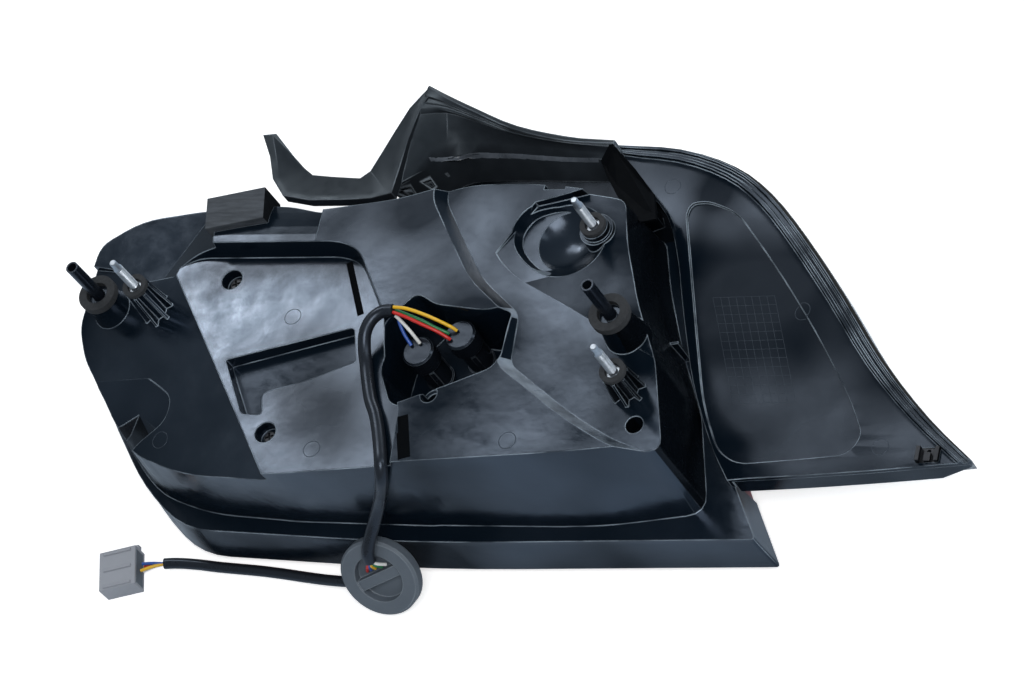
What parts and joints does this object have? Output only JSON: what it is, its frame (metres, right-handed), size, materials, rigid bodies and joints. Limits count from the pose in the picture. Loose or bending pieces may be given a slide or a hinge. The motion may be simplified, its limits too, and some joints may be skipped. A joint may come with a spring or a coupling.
{
  "type": "tail light cluster",
  "caption": "Rear lamp cluster seen from its mounting side: a moulded black back housing on a red lens, with studs, locating pegs, bulb holders and a harness.",
  "frame": {"origin": "middle of the lamp's footprint on the surface it lies on, harness left out", "axes": "+X along the lamp towards the side panel's tip, +Z along the studs and pegs, away from the lens; the lamp lies on its lens"},
  "size_m": [0.6113, 0.3235, 0.165],
  "materials": {
    "housing_gloss": "glossy moulded black with soft waves",
    "trim_matte": "fine-grained matt dark grey",
    "lens_red": "clear red, polished",
    "lens_clear": "clear, polished",
    "reflector_silver": "bright metallised",
    "seal": "matt",
    "foam": "brushed, porous",
    "foam_washer": "matt, porous",
    "zinc": "bright zinc",
    "steel_dark": "blackened",
    "plastic_black": "satin black",
    "bulb_glass": "amber-tinted, clear",
    "grommet_rubber": "matt grey",
    "connector_grey": "satin light grey",
    "sheath_black": "glossy black",
    "wire_yellow": "satin",
    "wire_red": "satin",
    "wire_green": "satin",
    "wire_white": "satin",
    "wire_blue": "satin"
  },
  "bodies": {
    "root": {"housing": "housing_gloss", "side_panel": "housing_gloss", "upper_trim": "trim_matte", "lens_red": "lens_red", "lens_clear": "lens_clear", "reflector": "reflector_silver", "main_seal": "seal", "panel_seal": "seal", "foam_block": "foam", "panel_clip": "steel_dark", "stud_left": "zinc", "stud_upper": "zinc", "stud_lower": "zinc", "washer_stud_left": "foam_washer", "washer_stud_upper": "foam_washer", "washer_stud_lower": "foam_washer", "peg_left": "plastic_black", "peg_right": "plastic_black", "washer_peg_left": "foam_washer", "washer_peg_right": "foam_washer", "screw_upper": "steel_dark", "screw_lower": "steel_dark", "bulb_holder_1": "plastic_black", "bulb_holder_2": "plastic_black", "bulb_cap_1": "plastic_black", "bulb_cap_2": "plastic_black", "bulb_1": "bulb_glass", "bulb_2": "bulb_glass", "grommet": "grommet_rubber", "connector": "connector_grey", "connector_seal": "grommet_rubber", "sheath": "sheath_black", "tail": "sheath_black", "wire_yellow": "wire_yellow", "wire_red": "wire_red", "wire_green": "wire_green", "wire_white": "wire_white", "wire_blue": "wire_blue"}
  },
  "joints": []
}
